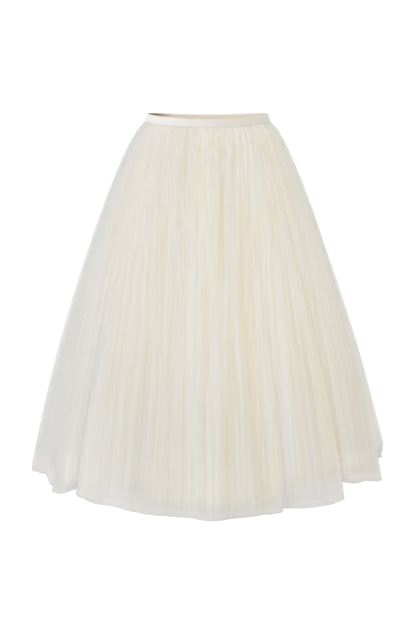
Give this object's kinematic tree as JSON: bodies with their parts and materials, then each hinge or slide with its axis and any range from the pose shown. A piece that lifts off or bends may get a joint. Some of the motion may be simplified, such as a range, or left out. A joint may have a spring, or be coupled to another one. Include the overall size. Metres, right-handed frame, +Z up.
{
  "type": "tulle skirt",
  "caption": "Full midi skirt of layered ivory tulle over a slim warm lining, gathered into a narrow satin waistband, hollow and filled out as worn.",
  "frame": {"origin": "centre of the waistband at mid height, where the wearer's waist holds the skirt", "axes": "+Z up, -Y towards the skirt's front, +X towards the wearer's left side"},
  "size_m": [0.7785, 0.6231, 0.8076],
  "materials": {
    "band_satin": "ivory satin with a soft gloss",
    "tulle": "matte sheer net, warm ivory",
    "lining": "opaque warm cream satin"
  },
  "bodies": {
    "root": {"waistband_front": "band_satin", "waistband_back": "band_satin", "tulle_top_front": "tulle", "tulle_top_back": "tulle", "tulle_middle_front": "tulle", "tulle_middle_back": "tulle", "tulle_under_front": "tulle", "tulle_under_back": "tulle", "lining_front_right": "lining", "lining_front_left": "lining", "lining_back_left": "lining", "lining_back_right": "lining"}
  },
  "joints": []
}
